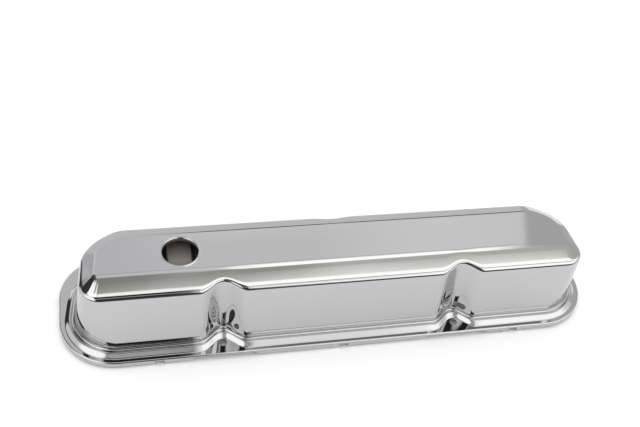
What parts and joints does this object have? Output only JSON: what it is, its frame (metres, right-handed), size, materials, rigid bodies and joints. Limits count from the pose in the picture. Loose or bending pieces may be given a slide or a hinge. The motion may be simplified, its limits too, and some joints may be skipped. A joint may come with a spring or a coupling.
{
  "type": "engine valve cover",
  "caption": "Long pressed-steel engine valve cover with a flanged rim, screw dimples, a breather hole and an oil baffle inside.",
  "frame": {"origin": "middle of the cover's length and width, on the plane its gasket ears stand on", "axes": "+X along the cover, away from the breather hole; +Y toward the three-screw side; +Z out of the roof"},
  "size_m": [0.497, 0.122, 0.0744],
  "materials": {
    "chrome": "polished chrome plate on pressed sheet steel",
    "baffle_steel": "dull plated sheet steel"
  },
  "bodies": {
    "root": {"cover_shell": "chrome", "baffle": "baffle_steel"}
  },
  "joints": []
}
